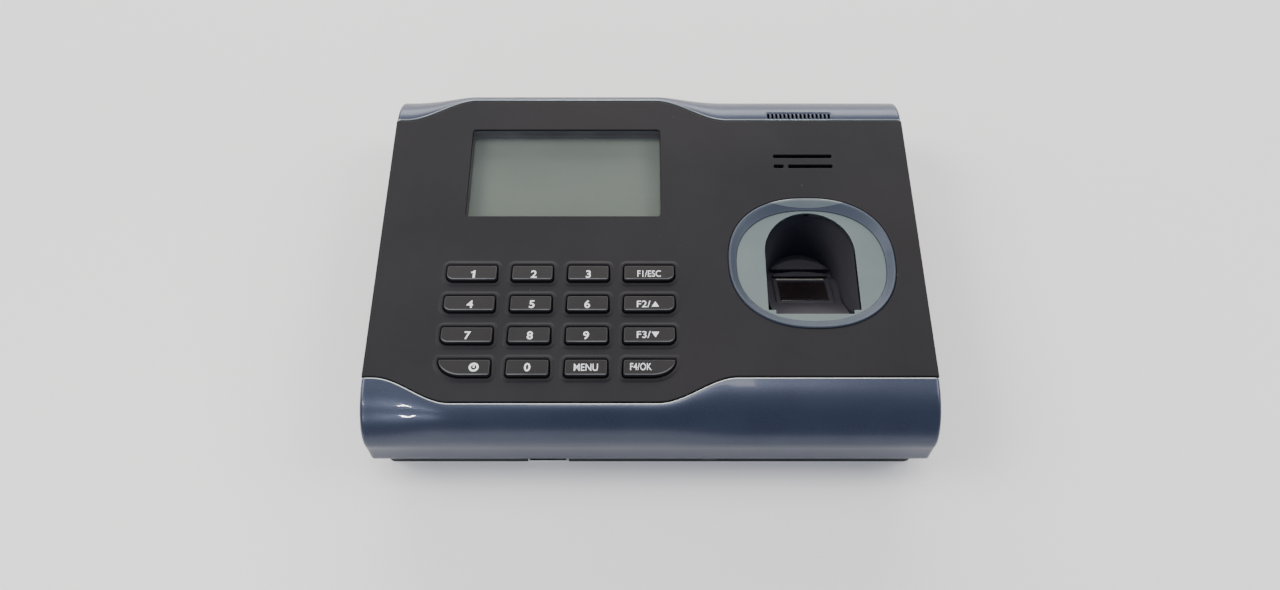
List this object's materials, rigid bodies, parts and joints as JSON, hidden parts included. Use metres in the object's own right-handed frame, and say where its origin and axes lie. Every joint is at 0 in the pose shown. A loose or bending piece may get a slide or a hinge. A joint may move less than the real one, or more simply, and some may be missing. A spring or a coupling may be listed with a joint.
{
  "type": "fingerprint scanner terminal",
  "caption": "Wall-mounted fingerprint terminal with a display, push-button keypad and a sloping finger well, in a shell that hooks on to a wall plate.",
  "frame": {"origin": "middle of the rear face, which is the wall plate's back and the housing's back", "axes": "+X to the right across the face, +Y to its upper edge, +Z out of the face"},
  "size_m": [0.181, 0.134, 0.0354],
  "materials": {
    "cover_black": "fine satin grain",
    "trim_blue": "metallic blue-grey lacquer",
    "case_black": "fine matt grain",
    "key_black": "satin with white legends",
    "plate_silver": "silver lacquer",
    "ring_blue": "metallic blue-grey lacquer",
    "window_clear": "clear, glossy",
    "panel_grey": "grey-green liquid crystal",
    "rubber_dark": "matt",
    "frame_black": "matt",
    "circuit_green": "solder mask",
    "sensor_dark": "polished, dark red-brown",
    "lens_frosted": "frosted",
    "led_red": "tinted clear",
    "led_green": "tinted clear",
    "steel": "zinc plated",
    "cone_black": "pressed paper",
    "ribbon_pale": "flat ribbon",
    "terminal_green": "matt"
  },
  "bodies": {
    "terminal": {"front_cover": "cover_black", "lower_trim": "trim_blue", "upper_trim": "trim_blue", "rear_housing": "case_black", "display_window": "window_clear", "display_gasket": "rubber_dark", "display_panel": "panel_grey", "display_frame": "frame_black", "display_board": "circuit_green", "sensor_ring": "ring_blue", "status_lens": "lens_frosted", "sensor_plate": "plate_silver", "finger_well": "case_black", "sensor_glass": "sensor_dark", "sensor_module": "frame_black", "sensor_board": "circuit_green", "speaker_gasket": "rubber_dark", "speaker_driver": "steel", "speaker_cone": "cone_black", "led_red": "led_red", "led_green": "led_green", "led_board": "circuit_green", "keypad_mat": "rubber_dark", "keypad_board": "circuit_green", "main_board": "circuit_green", "processor_chip": "frame_black", "memory_chip": "frame_black", "relay": "frame_black", "backup_battery": "steel", "network_jack": "steel", "power_jack": "frame_black", "terminal_block": "terminal_green", "usb_board": "circuit_green", "usb_socket": "steel", "display_cable": "ribbon_pale", "sensor_cable": "ribbon_pale", "tamper_switch": "frame_black", "case_screw_1": "steel", "case_screw_2": "steel", "case_screw_3": "steel", "case_screw_4": "steel", "wall_plate_screw": "steel"},
    "key_1": {"key_1": "key_black"},
    "key_2": {"key_2": "key_black"},
    "key_3": {"key_3": "key_black"},
    "key_f1_esc": {"key_f1_esc": "key_black"},
    "key_4": {"key_4": "key_black"},
    "key_5": {"key_5": "key_black"},
    "key_6": {"key_6": "key_black"},
    "key_f2_up": {"key_f2_up": "key_black"},
    "key_7": {"key_7": "key_black"},
    "key_8": {"key_8": "key_black"},
    "key_9": {"key_9": "key_black"},
    "key_f3_down": {"key_f3_down": "key_black"},
    "key_power": {"key_power": "key_black"},
    "key_0": {"key_0": "key_black"},
    "key_menu": {"key_menu": "key_black"},
    "key_f4_ok": {"key_f4_ok": "key_black"},
    "tamper_plunger": {"tamper_plunger": "case_black"},
    "wall_plate": {"wall_plate": "steel"}
  },
  "joints": [
    {"name": "key_1_press", "type": "slide", "parent": "terminal", "child": "key_1", "axis": [0, 0, -1], "range_m": [0, 0.0009], "stiffness_N_per_m": 500, "springref_m": -0.001},
    {"name": "key_2_press", "type": "slide", "parent": "terminal", "child": "key_2", "axis": [0, 0, -1], "range_m": [0, 0.0009], "stiffness_N_per_m": 500, "springref_m": -0.001},
    {"name": "key_3_press", "type": "slide", "parent": "terminal", "child": "key_3", "axis": [0, 0, -1], "range_m": [0, 0.0009], "stiffness_N_per_m": 500, "springref_m": -0.001},
    {"name": "key_f1_esc_press", "type": "slide", "parent": "terminal", "child": "key_f1_esc", "axis": [0, 0, -1], "range_m": [0, 0.0009], "stiffness_N_per_m": 500, "springref_m": -0.001},
    {"name": "key_4_press", "type": "slide", "parent": "terminal", "child": "key_4", "axis": [0, 0, -1], "range_m": [0, 0.0009], "stiffness_N_per_m": 500, "springref_m": -0.001},
    {"name": "key_5_press", "type": "slide", "parent": "terminal", "child": "key_5", "axis": [0, 0, -1], "range_m": [0, 0.0009], "stiffness_N_per_m": 500, "springref_m": -0.001},
    {"name": "key_6_press", "type": "slide", "parent": "terminal", "child": "key_6", "axis": [0, 0, -1], "range_m": [0, 0.0009], "stiffness_N_per_m": 500, "springref_m": -0.001},
    {"name": "key_f2_up_press", "type": "slide", "parent": "terminal", "child": "key_f2_up", "axis": [0, 0, -1], "range_m": [0, 0.0009], "stiffness_N_per_m": 500, "springref_m": -0.001},
    {"name": "key_7_press", "type": "slide", "parent": "terminal", "child": "key_7", "axis": [0, 0, -1], "range_m": [0, 0.0009], "stiffness_N_per_m": 500, "springref_m": -0.001},
    {"name": "key_8_press", "type": "slide", "parent": "terminal", "child": "key_8", "axis": [0, 0, -1], "range_m": [0, 0.0009], "stiffness_N_per_m": 500, "springref_m": -0.001},
    {"name": "key_9_press", "type": "slide", "parent": "terminal", "child": "key_9", "axis": [0, 0, -1], "range_m": [0, 0.0009], "stiffness_N_per_m": 500, "springref_m": -0.001},
    {"name": "key_f3_down_press", "type": "slide", "parent": "terminal", "child": "key_f3_down", "axis": [0, 0, -1], "range_m": [0, 0.0009], "stiffness_N_per_m": 500, "springref_m": -0.001},
    {"name": "key_power_press", "type": "slide", "parent": "terminal", "child": "key_power", "axis": [0, 0, -1], "range_m": [0, 0.0009], "stiffness_N_per_m": 500, "springref_m": -0.001},
    {"name": "key_0_press", "type": "slide", "parent": "terminal", "child": "key_0", "axis": [0, 0, -1], "range_m": [0, 0.0009], "stiffness_N_per_m": 500, "springref_m": -0.001},
    {"name": "key_menu_press", "type": "slide", "parent": "terminal", "child": "key_menu", "axis": [0, 0, -1], "range_m": [0, 0.0009], "stiffness_N_per_m": 500, "springref_m": -0.001},
    {"name": "key_f4_ok_press", "type": "slide", "parent": "terminal", "child": "key_f4_ok", "axis": [0, 0, -1], "range_m": [0, 0.0009], "stiffness_N_per_m": 500, "springref_m": -0.001},
    {"name": "tamper_plunger_press", "type": "slide", "parent": "terminal", "child": "tamper_plunger", "axis": [0, 0, 1], "range_m": [0, 0.0012], "stiffness_N_per_m": 400, "springref_m": -0.001},
    {"name": "wall_plate_slide", "type": "slide", "parent": "terminal", "child": "wall_plate", "axis": [0, -1, 0], "range_m": [0, 0.006]}
  ]
}
